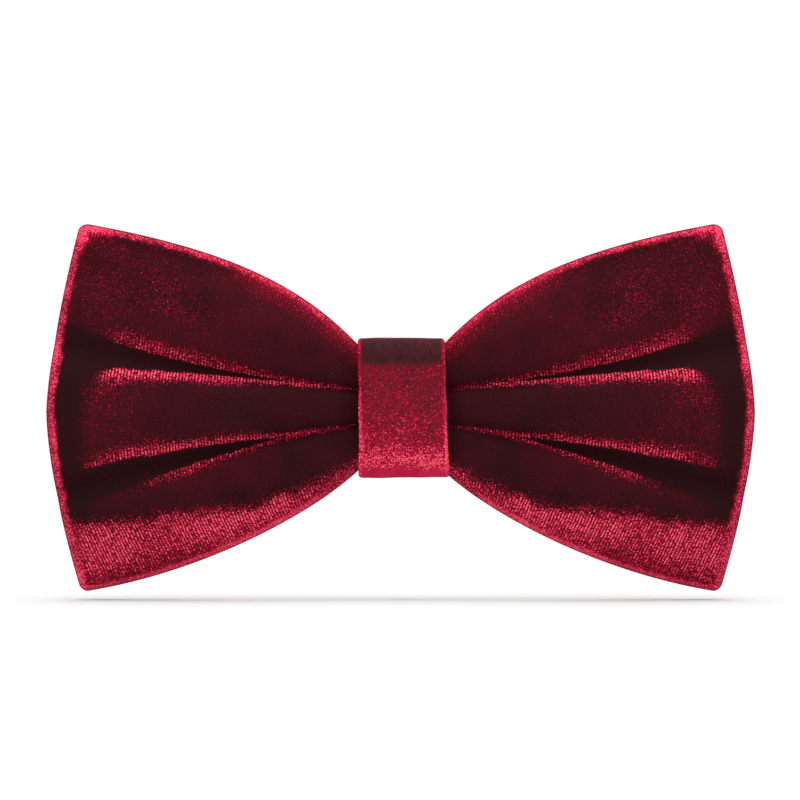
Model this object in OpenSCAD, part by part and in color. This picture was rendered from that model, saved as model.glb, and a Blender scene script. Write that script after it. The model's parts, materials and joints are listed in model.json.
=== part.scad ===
// Pre-tied butterfly bow tie in velvet, with a two-jaw collar clip behind its knot.
// X runs across the bow, Z is up, and the front faces -Y.
// The origin is the middle of the clip plate's rear face, where the collar lies.

/* [Bow] */
// Width across both wings
bow_w = 120; // [110:1:130]
// Height of the wing ends
bow_h = 62; // [56:1:68]
// How far the middle of a wing end stands out past its corners
end_bulge = 5.7; // [4:0.1:8]
// Height of the gathered waist where it leaves the knot
waist_h = 20; // [18.8:0.1:20.2]
// Height of the waist under its binding thread
bound_h = 18.4; // [17:0.1:18.6]
// Depth of the pleats at the waist
waist_fold = 2.2; // [1:0.1:2.3]
// Depth of the pleats at the wing ends
end_fold = 1.2; // [0.4:0.1:2]
// How far above and below the middle each pleat lies, as a share of the half height
pleat_at = 0.28; // [0.2:0.01:0.36]
// How far the wing ends sweep back from the plane of the waist
end_sweep = 0.8; // [0:0.1:1.2]

/* [Cloth] */
// Thickness of the velvet panels
velvet_t = 1.2; // [1:0.05:1.25]
// Thickness of the interlining between the panels
interlining_t = 0.9; // [0.7:0.05:1]
// Diameter of the sewing thread
thread_d = 0.3; // [0.2:0.02:0.34]

/* [Knot] */
// Width of the knot across the bow
knot_w = 15; // [13:0.5:17]
// Height of the knot
knot_h = 23.6; // [23.6:0.1:25]
// Depth of the knot from front to back
knot_d = 10; // [10:0.1:11]
// Thickness of the knot's velvet
wrap_t = 1.1; // [0.8:0.05:1.15]
// Thickness of the stiffening strip inside the knot
lining_t = 0.5; // [0.3:0.05:0.55]
// Radius of the knot's long edges
knot_r = 3.2; // [2.6:0.1:3.6]

/* [Clip] */
// Length of the clip plate
clip_l = 44; // [42:1:48]
// Height of the clip plate
clip_h = 9; // [9:0.1:10]
// Thickness of the plate's steel
plate_t = 0.8; // [0.6:0.05:0.9]
// Thickness of the jaws' and ears' steel
sheet_t = 0.6; // [0.5:0.05:0.65]
// Distance of each pin from the middle of the clip
pivot_x = 8.5; // [8.5:0.1:9.5]
// Height of each pin behind the plate
pivot_y = 1.9; // [1.9:0.05:2.1]
// Radius of the pins
pin_r = 0.6; // [0.5:0.05:0.65]
// Diameter of the spring wire
wire_d = 0.45; // [0.35:0.05:0.45]
// Number of teeth on each jaw
teeth = 5; // [4:1:7]

/* [Keeper] */
// Width of the ribbon that holds the clip
keeper_w = 6.4; // [5:0.2:6.6]
// Length of the ribbon's hold above and below the clip's middle
keeper_reach = 9.6; // [9:0.1:9.8]
// Thickness of the ribbon
keeper_t = 0.6; // [0.4:0.05:0.65]

/* [Hidden] */
$fn = 48;

crimson = "#6e0a1c";
thread_red = "#4c0713";
lining_grey = "#d8d4cc";
ribbon_black = "#1c1618";
nickel = "#c9cacc";

// Room left between parts that only lie against each other
slack = 0.05;
// Room round a pin in the jaw that turns on it, and in the ears that hold it
running = 0.05;
held = 0.02;

knot_back = -plate_t - 2 * slack;
knot_y = knot_back - knot_d / 2;

// ---- The outline of a wing ----

// Half length of the waist that the knot covers, and of the part that is bound with thread
waist_x = knot_w / 2 + 0.1;
bound_x = 2.5;
// Where the curve of the upper and lower edges is pulled to, as [share of the wing, share of the height]
upper_pull = [[0.15, 0.65], [0.5, 0.87]];
lower_pull = [[0.17, 0.62], [0.52, 0.85]];

function mix(a, b, t) = a + (b - a) * t;
function bezier(a, b, c, d, t) =
    a * pow(1 - t, 3) + 3 * b * t * pow(1 - t, 2) + 3 * c * t * t * (1 - t) + d * pow(t, 3);

// u runs from -1 at the bow's middle, through 0 at the knot's side, to 1 at the wing's end.
// v runs from -1 at the lower edge to 1 at the upper edge.
function pull(v) = v < 0 ? lower_pull : upper_pull;
function end_x(v) = bow_w / 2 - end_bulge * pow(abs(v), 1.5);
function wing_x(u, v) =
    let (p = pull(v), reach = bezier(0, p[0][0], p[1][0], 1, u))
    mix(waist_x, end_x(v), reach);
function half_height(u, v) =
    let (p = pull(v), low = waist_h / 2, high = bow_h / 2)
    bezier(low, p[0][1] * high, p[1][1] * high, high, u);
function waist_height(u) =
    let (x = (1 + u) * waist_x, t = max(0, (x - bound_x) / (waist_x - bound_x)))
    mix(bound_h, waist_h, t) / 2;
function sheet_x(u, v) = u < 0 ? (1 + u) * waist_x : wing_x(u, v);
function sheet_z(u, v) = v * (u < 0 ? waist_height(u) : half_height(u, v));

// ---- The pleats ----

pleat_w = 0.13;
function valley(v, at) = exp(-pow((v - at) / pleat_w, 2));
function pleats(v) = valley(v, pleat_at) + valley(v, -pleat_at) - 0.5;
function fold(u) = mix(waist_fold, end_fold, max(0, u));
function sheet_y(u, v) = knot_y + end_sweep * pow(max(0, u), 2) + fold(u) * pleats(v);

// A point of the pleated sheet's middle surface, moved back by depth
function sheet_point(column, v, depth) =
    let (side = column[0], u = column[1])
    [side * sheet_x(u, v), sheet_y(u, v) + depth, sheet_z(u, v)];

// ---- The grid that the cloth layers are built on ----

wing_steps = 10;
row_steps = 26;
// The rim is the outermost ring of cells, which the interlining stops short of.
rim_u = 0.965;
rim_v = 0.94;
waist_u = [-1, bound_x / waist_x - 1];
wing_u = [for (i = [0 : wing_steps]) rim_u * i / wing_steps];
half_columns = concat(waist_u, wing_u, [1]);
last = len(half_columns) - 1;
columns = [for (k = [-last : last]) [sign(k), half_columns[abs(k)]]];
rows = concat([-1], [for (i = [0 : row_steps]) rim_v * (2 * i / row_steps - 1)], [1]);
inner_columns = [for (k = [1 : len(columns) - 2]) columns[k]];
inner_rows = [for (k = [1 : len(rows) - 2]) rows[k]];

function at_rim(column, v) = abs(v) == 1 || column[1] == 1;
// How far each face of a panel lies from the sheet's middle surface
function inner_depth(column, v) = at_rim(column, v) ? slack / 2 : interlining_t / 2 + slack / 2;
function outer_depth(column, v) = at_rim(column, v) ? 0.75 * velvet_t : interlining_t / 2 + velvet_t;

// A closed solid between two grids of points, front and back, with m columns of n rows
module layer(front, back, m, n) {
    points = concat(front, back);
    step = m * n;
    function id(face, i, j) = face * step + i * n + j;
    function cell(face, i, j) =
        let (
            a = id(face, i, j), b = id(face, i + 1, j),
            c = id(face, i + 1, j + 1), d = id(face, i, j + 1)
        )
        face == 0 ? [[a, d, c], [a, c, b]] : [[a, b, c], [a, c, d]];
    function wall(p, q) = [[p, q, q + step], [p, q + step, p + step]];
    skins = [for (face = [0, 1], i = [0 : m - 2], j = [0 : n - 2], t = cell(face, i, j)) t];
    ends = [for (j = [0 : n - 2], t = concat(
        wall(id(0, 0, j + 1), id(0, 0, j)),
        wall(id(0, m - 1, j), id(0, m - 1, j + 1))
    )) t];
    edges = [for (i = [0 : m - 2], t = concat(
        wall(id(0, i, 0), id(0, i + 1, 0)),
        wall(id(0, i + 1, n - 1), id(0, i, n - 1))
    )) t];
    polyhedron(points, concat(skins, ends, edges));
}

// One velvet panel: facing is -1 for the front and 1 for the back
module panel(facing) {
    outer = [for (c = columns, v = rows) sheet_point(c, v, facing * outer_depth(c, v))];
    inner = [for (c = columns, v = rows) sheet_point(c, v, facing * inner_depth(c, v))];
    layer(facing < 0 ? outer : inner, facing < 0 ? inner : outer, len(columns), len(rows));
}

module front_panel() {
    color(crimson) panel(-1);
}

module back_panel() {
    color(crimson) panel(1);
}

module interlining() {
    depth = interlining_t / 2 - slack / 2;
    front = [for (c = inner_columns, v = inner_rows) sheet_point(c, v, -depth)];
    back = [for (c = inner_columns, v = inner_rows) sheet_point(c, v, depth)];
    color(lining_grey) layer(front, back, len(inner_columns), len(inner_rows));
}

// ---- Thread ----

// A straight length of thread between two points
module stitch(a, b, d = thread_d) {
    run = b - a;
    length = norm(run);
    translate(a)
        rotate([0, acos(run[2] / length), atan2(run[1], run[0])])
            cylinder(h = length, d = d, $fn = 16);
}

// The middle of the rim, all the way round the bow
seam_u = (1 + rim_u) / 2;
seam_v = (1 + rim_v) / 2;
seam_points = concat(
    [for (c = inner_columns) sheet_point(c, seam_v, 0)],
    [for (v = inner_rows) sheet_point([1, seam_u], -v, 0)],
    [for (c = inner_columns) sheet_point([-c[0], c[1]], -seam_v, 0)],
    [for (v = inner_rows) sheet_point([-1, seam_u], v, 0)]
);

module edge_seam() {
    count = len(seam_points);
    color(thread_red)
        for (i = [0 : count - 1]) {
            a = seam_points[i];
            b = seam_points[(i + 1) % count];
            stitch(mix(a, b, 0.12), mix(a, b, 0.88));
        }
}

// ---- The knot ----

// A rectangle with round corners, centred on the origin
module round_rect(w, h, r) {
    square([w - 2 * r, h], center = true);
    square([w, h - 2 * r], center = true);
    for (x = [-1, 1], y = [-1, 1])
        translate([x * (w / 2 - r), y * (h / 2 - r)]) circle(r);
}

// A band round the waist, with its outside d deep and h tall
module band(l, d, h, r, t) {
    translate([-l / 2, knot_y, 0])
        rotate([90, 0, 90])
            linear_extrude(l)
                difference() {
                    round_rect(d, h, r);
                    round_rect(d - 2 * t, h - 2 * t, r - t);
                }
}

binding_turns = 8;
binding_pitch = 0.5;
module waist_thread() {
    inner_d = 2 * velvet_t + interlining_t + waist_fold + 2 * slack;
    outer_d = inner_d + 2 * thread_d;
    outer_h = bound_h + 2 * slack + 2 * thread_d;
    color(thread_red)
        for (i = [0 : binding_turns - 1])
            translate([(i - (binding_turns - 1) / 2) * binding_pitch, 0, 0])
                band(thread_d, outer_d, outer_h, 1, thread_d);
}

// Where the ends of the knot band meet, low on its back
join_z = -6.6;
join_gap = 0.3;
module join_cut() {
    translate([-knot_w, knot_y + knot_d / 4, join_z - join_gap / 2])
        cube([2 * knot_w, knot_d, join_gap]);
}

module knot_wrap() {
    color(crimson)
        difference() {
            band(knot_w, knot_d, knot_h, knot_r, wrap_t - slack);
            join_cut();
        }
}

module knot_lining() {
    color(lining_grey)
        difference() {
            band(
                knot_w - 2, knot_d - 2 * wrap_t, knot_h - 2 * wrap_t,
                knot_r - wrap_t, lining_t
            );
            join_cut();
        }
}

stitches_a_side = 4;
module knot_stitches() {
    lean = 0.3;
    rise = 0.7;
    y = knot_back + thread_d / 2;
    first = keeper_w / 2 + 0.6;
    color(thread_red)
        for (side = [-1, 1], i = [0 : stitches_a_side - 1]) {
            x = side * (first + i);
            stitch([x - lean, y, join_z - rise], [x + lean, y, join_z + rise]);
        }
}

// ---- The clip ----

// The outline of a bent strip of sheet, t thick, along the points of its middle line
function unit(a) = a / norm(a);
function across(a, b) = let (d = unit(b - a)) [-d[1], d[0]];
function miter(path, i) =
    let (
        n = len(path),
        before = across(path[max(0, i - 1)], path[max(1, i)]),
        after = across(path[min(n - 2, i)], path[min(n - 1, i + 1)]),
        way = unit(before + after)
    )
    way / (way * after);
function strip(path, t) = concat(
    [for (i = [0 : len(path) - 1]) path[i] + miter(path, i) * t / 2],
    [for (i = [len(path) - 1 : -1 : 0]) path[i] - miter(path, i) * t / 2]
);

// Extrudes an outline drawn in X and Y along Z, w wide and centred
module across_clip(w) {
    translate([0, 0, -w / 2]) linear_extrude(w) children();
}

bar_h = clip_h - 3;
bar_l = 8;
ear_r = 1.5;
jaw_ear_r = 1.35;
ear_room = 0.2;
jaw_w = clip_h - 2 * sheet_t - 2 * ear_room;

module plate_outline() {
    difference() {
        round_rect(clip_l, clip_h, 2);
        for (side = [-1, 1])
            translate([0, side * clip_h / 2]) square([bar_l, clip_h - bar_h], center = true);
    }
}

// An ear's outline: a round end about the pin, on a stem that runs to y = foot
module ear_outline(r, foot, hole_r) {
    difference() {
        union() {
            translate([pivot_x, pivot_y]) circle(r);
            translate([pivot_x - r, min(foot, pivot_y)]) square([2 * r, abs(pivot_y - foot)]);
        }
        translate([pivot_x, pivot_y]) circle(hole_r);
    }
}

// Both ears of a pair, whose outer faces are w apart
module ear_pair(w, r, foot, hole_r) {
    for (side = [-1, 1])
        translate([0, 0, side * (w - sheet_t) / 2])
            across_clip(sheet_t) ear_outline(r, foot, hole_r);
}

module clip_base() {
    color(nickel) {
        rotate([90, 0, 0]) linear_extrude(plate_t) plate_outline();
        for (side = [0, 1])
            mirror([side, 0, 0]) ear_pair(clip_h, ear_r, -plate_t / 2, pin_r + held);
    }
}

// The jaw's middle line, from its finger tab, over the pin, to its toothed lip
jaw_top = pivot_y + 1.7;
jaw_tip = clip_l / 2 - 0.4;
jaw_path = [
    [pivot_x - 4.1, jaw_top + 1.3], [pivot_x - 1.4, jaw_top + 0.1], [pivot_x + 1.2, jaw_top],
    [jaw_tip - 0.7, 1.4], [jaw_tip, 0.35]
];
tooth_depth = 0.7;

module tooth_gaps() {
    pitch = clip_h / teeth;
    for (i = [0 : teeth])
        translate([jaw_tip - 1.6, 0, (i - teeth / 2) * pitch])
            rotate([90, 0, 90])
                linear_extrude(3)
                    polygon([[0, -pitch / 2 + 0.2], [tooth_depth, 0], [0, pitch / 2 - 0.2]]);
}

module jaw() {
    wide_from = pivot_x + ear_r + 1;
    difference() {
        union() {
            across_clip(jaw_w) polygon(strip(jaw_path, sheet_t));
            intersection() {
                across_clip(clip_h) polygon(strip(jaw_path, sheet_t));
                translate([wide_from, -clip_h, -clip_h]) cube(2 * clip_h);
            }
            ear_pair(jaw_w, jaw_ear_r, jaw_top, pin_r + running);
        }
        tooth_gaps();
    }
}

module pin() {
    head_r = 1;
    head_t = 0.4;
    translate([pivot_x, pivot_y, 0]) {
        cylinder(h = clip_h, r = pin_r, center = true);
        for (side = [0, 1])
            mirror([0, 0, side]) translate([0, 0, clip_h / 2]) cylinder(h = head_t, r = head_r);
    }
}

// ---- The springs ----

coil_r = pin_r + wire_d / 2 + 0.15;
coil_turns = 3.5;
coil_pitch = wire_d + 0.15;
coil_steps = 14;
wire_sides = 8;

// The spring's wire: a leg on the plate, the coil round the pin, and a leg under the finger tab
function spring_path() =
    let (
        half_l = coil_turns * coil_pitch / 2,
        steps = coil_turns * coil_steps,
        leg_x = pivot_x - 3.1,
        plate_leg = [leg_x, wire_d / 2 + slack, -half_l],
        // The leg bends up with the tab, and lies about 0.13 below it
        tab_leg = [[pivot_x - 1.4, pivot_y + 1.12, half_l], [leg_x, jaw_top + 0.15, half_l]]
    )
    concat(
        [plate_leg],
        [for (i = [0 : steps])
            let (a = 360 * i / coil_steps - 90)
            [
                pivot_x + coil_r * cos(a), pivot_y + coil_r * sin(a),
                coil_pitch * i / coil_steps - half_l
            ]
        ],
        tab_leg
    );

// A round wire along a path that lies nearly across Z
module wire(path, d) {
    n = len(path);
    function along(i) = unit(path[min(n - 1, i + 1)] - path[max(0, i - 1)]);
    function ring(i) =
        let (t = along(i), side = unit(cross(t, [0, 0, 1])), up = cross(side, t))
        [for (k = [0 : wire_sides - 1])
            let (a = 360 * k / wire_sides)
            path[i] + d / 2 * (side * cos(a) + up * sin(a))
        ];
    function next(k) = (k + 1) % wire_sides;
    walls = [for (i = [0 : n - 2], k = [0 : wire_sides - 1])
        let (p = i * wire_sides, q = p + wire_sides)
        [p + k, q + k, q + next(k), p + next(k)]
    ];
    start = [for (k = [0 : wire_sides - 1]) k];
    end = [for (k = [wire_sides - 1 : -1 : 0]) (n - 1) * wire_sides + k];
    polyhedron([for (i = [0 : n - 1], p = ring(i)) p], concat(walls, [start, end]));
}

module spring() {
    wire(spring_path(), wire_d);
}

module jaw_right() {
    color(nickel) jaw();
}

module jaw_left() {
    color(nickel) mirror([1, 0, 0]) jaw();
}

module pin_right() {
    color(nickel) pin();
}

module pin_left() {
    color(nickel) mirror([1, 0, 0]) pin();
}

module spring_right() {
    color(nickel) spring();
}

module spring_left() {
    color(nickel) mirror([1, 0, 0]) spring();
}

// ---- The keeper ----

// The ribbon's middle line as [y, z]: flat on the knot, over the clip's bar, flat on the knot
tab_y = knot_back + keeper_t / 2;
bar_y = slack + keeper_t / 2;
tab_z = clip_h / 2 + 0.3;
over_z = bar_h / 2 + 0.7;
keeper_path = [
    [tab_y, keeper_reach], [tab_y, tab_z], [bar_y, over_z],
    [bar_y, -over_z], [tab_y, -tab_z], [tab_y, -keeper_reach]
];

module clip_keeper() {
    color(ribbon_black)
        translate([-keeper_w / 2, 0, 0])
            rotate([90, 0, 90])
                linear_extrude(keeper_w) polygon(strip(keeper_path, keeper_t));
}

module keeper_stitches() {
    length = 0.9;
    pitch = 1.3;
    across_count = 4;
    y = knot_back + keeper_t + thread_d / 2;
    color(thread_red)
        for (end = [-1, 1], row = [0, 1], i = [0 : across_count - 1]) {
            x = (i - (across_count - 1) / 2) * pitch;
            z = end * (keeper_reach - 0.9 - 1.4 * row);
            stitch([x - length / 2, y, z], [x + length / 2, y, z]);
        }
}

front_panel();
back_panel();
interlining();
edge_seam();
waist_thread();
knot_wrap();
knot_lining();
knot_stitches();
clip_keeper();
keeper_stitches();
clip_base();
jaw_left();
jaw_right();
pin_left();
pin_right();
spring_left();
spring_right();
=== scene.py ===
"""A ready-tied velvet bow tie with a sprung collar clip, built round its CAD frame.

Lengths below are in millimetres, and mesh() turns them into metres. X runs across the
bow, Z is up and the front faces -Y, as in the frame.
"""
import json
import math

import bpy
import numpy as np
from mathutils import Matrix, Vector

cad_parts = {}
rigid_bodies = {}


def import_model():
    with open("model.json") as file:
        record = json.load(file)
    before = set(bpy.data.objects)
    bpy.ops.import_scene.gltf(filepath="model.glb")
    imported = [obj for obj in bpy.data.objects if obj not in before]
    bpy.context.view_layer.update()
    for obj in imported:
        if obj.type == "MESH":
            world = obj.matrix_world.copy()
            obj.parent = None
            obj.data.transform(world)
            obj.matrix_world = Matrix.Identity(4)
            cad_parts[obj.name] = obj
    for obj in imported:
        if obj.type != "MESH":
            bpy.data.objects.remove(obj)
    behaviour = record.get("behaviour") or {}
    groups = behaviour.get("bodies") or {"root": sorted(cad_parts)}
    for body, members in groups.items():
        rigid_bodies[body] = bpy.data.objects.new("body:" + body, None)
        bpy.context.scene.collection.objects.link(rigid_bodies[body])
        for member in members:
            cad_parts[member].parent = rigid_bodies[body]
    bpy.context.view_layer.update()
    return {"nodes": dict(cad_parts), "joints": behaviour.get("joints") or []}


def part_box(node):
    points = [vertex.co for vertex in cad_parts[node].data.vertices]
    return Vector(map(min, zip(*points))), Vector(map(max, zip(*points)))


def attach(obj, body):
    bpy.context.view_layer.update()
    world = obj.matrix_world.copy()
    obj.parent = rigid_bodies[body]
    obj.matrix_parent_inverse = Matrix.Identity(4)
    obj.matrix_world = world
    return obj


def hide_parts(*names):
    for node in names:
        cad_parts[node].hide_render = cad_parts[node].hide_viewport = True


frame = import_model()
MM = 0.001


def box_mm(node):
    """The low and high corners of a CAD node's box, in millimetres."""
    low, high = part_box(node)
    return np.array(low) / MM, np.array(high) / MM


BOW_HIGH = box_mm("front_panel")[1]
KNOT_LOW, KNOT_HIGH = box_mm("knot_wrap")
LINING_LOW, LINING_HIGH = box_mm("knot_lining")
KEEPER_LOW, KEEPER_HIGH = box_mm("clip_keeper")
HALF_W = BOW_HIGH[0]
HALF_H = BOW_HIGH[2]
KNOT_X = KNOT_HIGH[0]
KNOT_Z = KNOT_HIGH[2]
KNOT_BACK = KNOT_HIGH[1]
MID_Y = (KNOT_LOW[1] + KNOT_HIGH[1]) / 2


# ---------------- numbers and noise


NOISE_CELLS = 64


def mix(a, b, t):
    return a + (b - a) * t


def ease(low, high, x):
    """0 where x is at low, 1 where it is at high, and smooth between. Low may be the greater."""
    t = np.clip((np.asarray(x, float) - low) / (high - low), 0, 1)
    return t * t * (3 - 2 * t)


def over_zero(value, soft):
    """The value where it is over 0, and 0 where it is under, with a bend as wide as soft."""
    return soft * np.logaddexp(0, value / soft)


def bezier(a, b, c, d, t):
    return a * (1 - t) ** 3 + 3 * b * t * (1 - t) ** 2 + 3 * c * t * t * (1 - t) + d * t**3


def noise(x, y, size, seed):
    """Smooth noise from -1 to 1 whose lumps are about size across."""
    table = np.random.RandomState(seed).uniform(-1, 1, (NOISE_CELLS, NOISE_CELLS))
    x, y = np.asarray(x) / size, np.asarray(y) / size
    i, j = np.floor(x).astype(int), np.floor(y).astype(int)
    s, t = ease(0, 1, x - i), ease(0, 1, y - j)
    i0, i1 = i % NOISE_CELLS, (i + 1) % NOISE_CELLS
    j0, j1 = j % NOISE_CELLS, (j + 1) % NOISE_CELLS
    low = mix(table[i0, j0], table[i1, j0], s)
    high = mix(table[i0, j1], table[i1, j1], s)
    return mix(low, high, t)


def lengths_along(points):
    """How far along a line each of its points lies."""
    return np.concatenate([[0], np.cumsum(np.linalg.norm(np.diff(points, axis=0), axis=1))])


def distance_to(line, x, z):
    """How far each point is from a line of points in X and Z."""
    flat = np.stack([x.ravel(), z.ravel()], 1)
    best = np.full(len(flat), np.inf)
    for a, b in zip(line[:-1], line[1:]):
        run = b - a
        t = np.clip(((flat - a) @ run) / max(run @ run, 1e-12), 0, 1)
        best = np.minimum(best, np.hypot(*(flat - a - t[:, None] * run).T))
    return best.reshape(x.shape)


# ---------------- meshes


def mesh(name, grid, loop=(False, False), flip=False, caps=False, **attributes):
    """An object from an (m, n, 3) grid of points, closed round along either way."""
    m, n = grid.shape[:2]
    i = np.arange(m if loop[0] else m - 1)[:, None]
    j = np.arange(n if loop[1] else n - 1)[None, :]
    i1, j1 = (i + 1) % m, (j + 1) % n
    quads = np.stack([i * n + j, i1 * n + j, i1 * n + j1, i * n + j1], -1).reshape(-1, 4)
    if flip:
        quads = quads[:, ::-1]
    faces = quads.tolist()
    if caps:
        # Each end is zipped shut across its ring, which has an even count.
        zips = [[k, k + 1, n - 2 - k, n - 1 - k] for k in range(n // 2 - 1)]
        last = (m - 1) * n
        near = [z[::-1] for z in zips]
        far = [[last + k for k in z] for z in zips]
        ends = near + far
        faces += [z[::-1] for z in ends] if flip else ends
    data = bpy.data.meshes.new(name)
    data.from_pydata((grid.reshape(-1, 3) * MM).tolist(), [], faces)
    data.polygons.foreach_set("use_smooth", np.ones(len(data.polygons), bool))
    for key, values in attributes.items():
        kind, field = ("FLOAT_VECTOR", "vector") if values.ndim == 3 else ("FLOAT", "value")
        layer = data.attributes.new(key, kind, "POINT")
        layer.data.foreach_set(field, values.reshape(-1).astype(np.float32))
    data.update()
    piece = bpy.data.objects.new(name, data)
    bpy.context.scene.collection.objects.link(piece)
    return piece


def normals(grid):
    """The unit normals of a grid of points that faces -Y."""
    along, up = np.gradient(grid, axis=0), np.gradient(grid, axis=1)
    n = np.cross(along, up)
    n /= np.maximum(np.linalg.norm(n, axis=2, keepdims=True), 1e-9)
    return n * np.where(n[..., 1:2].mean() > 0, -1, 1)


# A direction that no thread or wire of the bow runs along
OFF_AXIS = [0.11, 0.23, 0.97]


def tube(points, radius, sides=10):
    """A grid of rings along a line of points, as a round cord."""
    points = np.asarray(points, float)
    along = np.gradient(points, axis=0)
    along /= np.linalg.norm(along, axis=1, keepdims=True)
    side = np.cross(along, OFF_AXIS)
    side /= np.linalg.norm(side, axis=1, keepdims=True)
    up = np.cross(side, along)
    a = np.linspace(0, 2 * np.pi, sides, endpoint=False)
    ring = np.cos(a)[None, :, None] * side[:, None] + np.sin(a)[None, :, None] * up[:, None]
    return points[:, None] + radius * ring


def join(name, parts):
    """One object from several."""
    bpy.ops.object.select_all(action="DESELECT")
    for part in parts:
        part.select_set(True)
    bpy.context.view_layer.objects.active = parts[0]
    bpy.ops.object.join()
    parts[0].name = name
    parts[0].data.name = name
    return parts[0]


def cord(name, points, radius, sides=10):
    """A round cord along a line of points, closed at both ends."""
    return mesh(name, tube(points, radius, sides), loop=(False, True), caps=True)


def modifier(piece, kind, **values):
    made = piece.modifiers.new(kind.title(), kind)
    for key, value in values.items():
        setattr(made, key, value)
    return made


# ---------------- materials


class Shader:
    """A material with a Principled shader, and short ways to add nodes to it."""

    def __init__(self, name, **settings):
        self.material = bpy.data.materials.new(name)
        self.material.use_nodes = True
        self.tree = self.material.node_tree
        self.surface = self.tree.nodes["Principled BSDF"]
        for key, value in settings.items():
            self.surface.inputs[key.replace("_", " ")].default_value = value

    def node(self, kind, inputs=(), **settings):
        made = self.tree.nodes.new("ShaderNode" + kind)
        for key, value in settings.items():
            setattr(made, key, value)
        for key, value in dict(inputs).items():
            self.put(made.inputs[key], value)
        return made

    def put(self, socket, value):
        if isinstance(value, bpy.types.NodeSocket):
            self.tree.links.new(value, socket)
        else:
            socket.default_value = value

    def math(self, operation, *values):
        return self.node("Math", dict(enumerate(values)), operation=operation).outputs[0]

    def plus(self, a, b):
        return self.math("ADD", a, b)

    def minus(self, a, b):
        return self.math("SUBTRACT", a, b)

    def times(self, a, b):
        return self.math("MULTIPLY", a, b)

    def line(self, value, slope, start):
        return self.math("MULTIPLY_ADD", value, slope, start)

    def ramp(self, value, low, high):
        """0 where value is under low and 1 where it is over high, and smooth between."""
        inputs = {"Value": value, "From Min": low, "From Max": high}
        return self.node("MapRange", inputs, interpolation_type="SMOOTHSTEP").outputs[0]

    def scaled(self, vector, scale):
        inputs = {0: vector, 1: scale}
        return self.node("VectorMath", inputs, operation="MULTIPLY").outputs[0]

    def attribute(self, name):
        """A point attribute of the mesh, which mesh() has stored."""
        return self.node("Attribute", attribute_name=name)

    def noise(self, vector, scale, detail=2.0):
        inputs = {"Vector": vector, "Scale": scale, "Detail": detail}
        return self.node("TexNoise", inputs).outputs[0]

    def colours(self, value, stops):
        made = self.node("ValToRGB", {"Fac": value})
        elements = made.color_ramp.elements
        for _ in stops[2:]:
            elements.new(0.5)
        for element, (place, colour) in zip(elements, stops):
            element.position = place
            element.color = (*colour, 1)
        return made.outputs[0]

    def bump(self, height, distance, strength=1.0):
        inputs = {"Height": height, "Distance": distance, "Strength": strength}
        self.put(self.surface.inputs["Normal"], self.node("Bump", inputs).outputs[0])

    def colour(self, value):
        self.put(self.surface.inputs["Base Color"], value)

    def roughness(self, value):
        self.put(self.surface.inputs["Roughness"], value)


RIB_PITCH = 0.55
RIB_WAVER = 0.45
BEAD_LENGTH = 0.25
TUFTS_A_MM = (3.3, 3.0, 1.0)
LOCKS_A_MM = (1.7, 2.7, 1.0)
STRANDS_A_METRE = 2600.0
SCRATCHES_A_METRE = (900.0, 900.0, 9000.0)
SMEARS_A_METRE = 260.0
# Colours of the pile, from painted shade, where it swallows the light, to painted highlight, where it
# throws it back
PILE = [
    (0.0, (0.0175, 0.0042, 0.0052)),
    (0.10, (0.0250, 0.0040, 0.0055)),
    (0.20, (0.0600, 0.0042, 0.0078)),
    (0.32, (0.1350, 0.0042, 0.0115)),
    (0.55, (0.3600, 0.0060, 0.0310)),
    (0.80, (0.6500, 0.0210, 0.0820)),
    (1.0, (0.8600, 0.1250, 0.1700)),
]
# The knot's ramp begins with a greyer, purpler painted shade for its top, and then follows the pile's
KNOT_PILE = [(0.0, (0.014, 0.0080, 0.0095)), (0.13, (0.056, 0.0105, 0.0145))] + PILE[3:]


def rib_waves(s, cloth):
    """How many ribs across each point is, and 1 on the ribs' crests and 0 in their valleys."""
    x = s.node("SeparateXYZ", {0: cloth}).outputs[0]
    waver = s.times(s.minus(s.noise(cloth, 0.5), 0.5), RIB_WAVER)
    across = s.math("DIVIDE", s.plus(x, waver), RIB_PITCH)
    wave = s.math("COSINE", s.times(across, 2 * math.pi))
    return across, s.line(wave, 0.5, 0.5)


def rib_beads(s, cloth, spark):
    """The ribs' crests, and the tufts along them, which catch painted highlights in a row of beads
    each.
    """
    across, crest = rib_waves(s, cloth)
    rib = s.math("FLOOR", s.plus(across, 0.5))
    along = s.math("DIVIDE", s.node("SeparateXYZ", {0: cloth}).outputs[1], BEAD_LENGTH)
    # Rows lie far apart in the noise, so that no rib's painted highlights are like its neighbour's.
    row = {0: s.times(rib, 3.7), 1: along, 2: s.times(rib, 1.3)}
    place = s.node("CombineXYZ", row).outputs[0]
    unlit = s.line(spark, -0.36, 0.76)
    bead_highlights = s.ramp(s.minus(s.noise(place, 1.0, 1.0), unlit), 0.0, 0.14)
    return crest, s.times(bead_highlights, s.math("POWER", crest, 1.3))


def single_tufts(s, cloth, spark):
    """Tufts over the whole cloth, and the painted highlights that some of them catch."""
    inputs = {"Vector": s.scaled(cloth, TUFTS_A_MM), "Scale": 1.0}
    cells = s.node("TexVoronoi", inputs, voronoi_dimensions="2D")
    luck = s.node("SeparateColor", {0: cells.outputs["Color"]}).outputs[0]
    unlit = s.line(spark, -0.85, 0.98)
    tufts = s.ramp(cells.outputs["Distance"], 0.52, 0.12)
    lit = s.ramp(s.minus(luck, unlit), 0.0, 0.3)
    return tufts, s.times(tufts, lit)


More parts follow.
